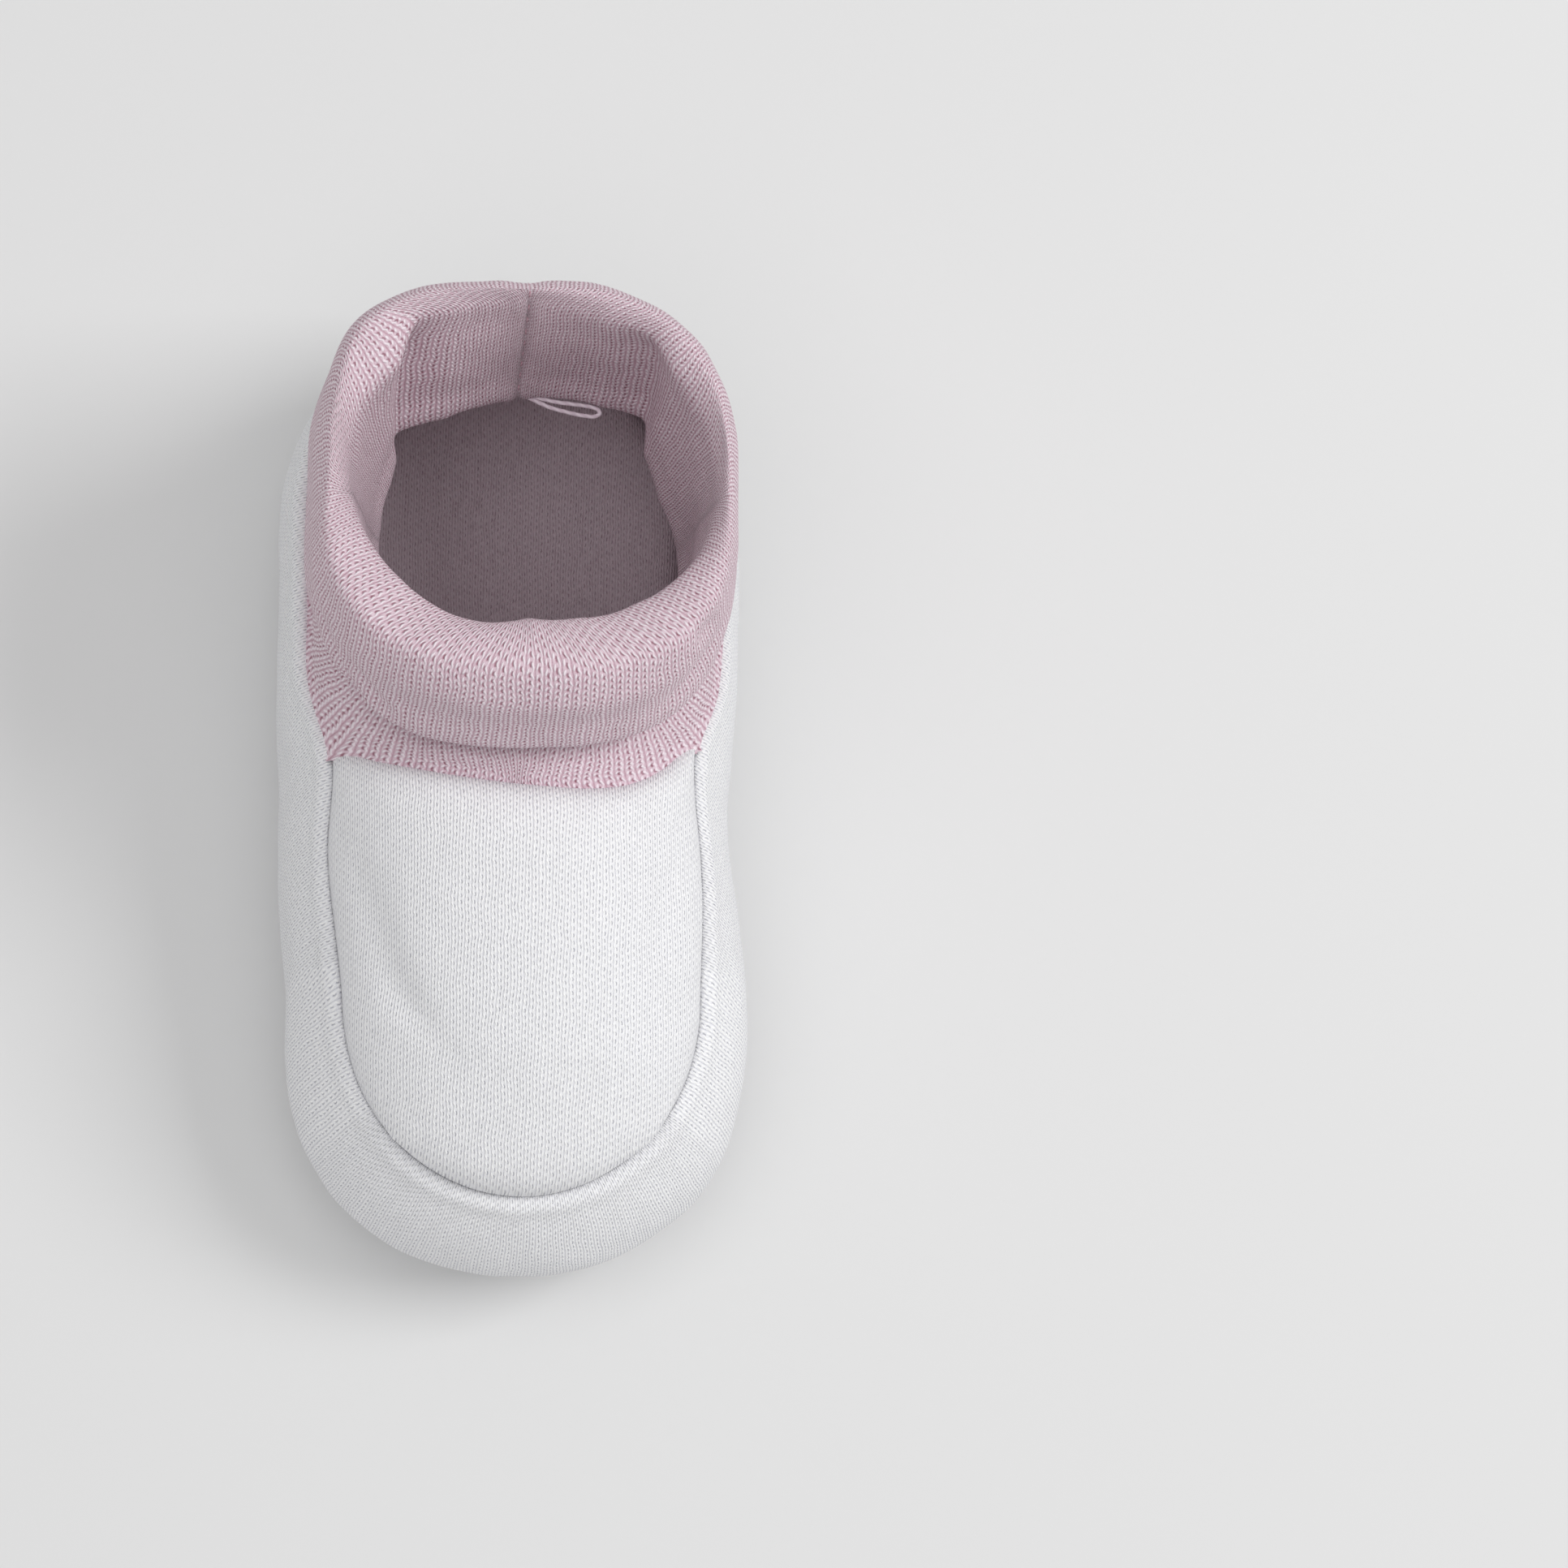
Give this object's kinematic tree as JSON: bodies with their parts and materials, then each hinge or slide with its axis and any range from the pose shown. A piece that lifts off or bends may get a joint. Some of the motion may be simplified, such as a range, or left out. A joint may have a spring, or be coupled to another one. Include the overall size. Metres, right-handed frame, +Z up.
{
  "type": "baby bootie",
  "caption": "Soft padded baby bootie in white knit, with an arched vamp, a padded sole and a turned-down pink jersey ankle cuff.",
  "frame": {"origin": "on the ground, under the middle of the foot's bounding box", "axes": "+Z up, +Y from toe to heel, +X across the foot"},
  "size_m": [0.049, 0.105, 0.0559],
  "materials": {
    "white_knit": "soft matt interlock knit, cotton",
    "pink_jersey": "soft matt jersey knit, cotton, pale pink",
    "brushed_lining": "brushed jersey, matt",
    "wadding": "polyester wadding, hidden",
    "white_thread": "spun sewing thread",
    "pink_thread": "spun sewing thread",
    "loop_cord": "thin braided cord"
  },
  "bodies": {
    "bootie": {"sole_outer": "white_knit", "sole_wadding": "wadding", "insole": "brushed_lining", "side_band": "white_knit", "band_heel_seam_thread": "white_thread", "band_wadding": "wadding", "band_lining": "brushed_lining", "vamp_panel": "white_knit", "vamp_wadding": "wadding", "vamp_lining": "brushed_lining", "cuff": "pink_jersey", "cuff_back_seam_thread": "pink_thread", "sole_seam_thread": "white_thread", "band_top_seam_thread": "white_thread", "ankle_seam_thread": "pink_thread", "loop_bar_tack": "pink_thread"},
    "loop": {"hang_loop": "loop_cord"}
  },
  "joints": [
    {"name": "loop_swing", "type": "hinge", "parent": "bootie", "child": "loop", "pos_m": [0.0015, 0.03916, 0.03], "axis": [0.342, 0.9397, 0], "range_deg": [-70, 85]}
  ]
}
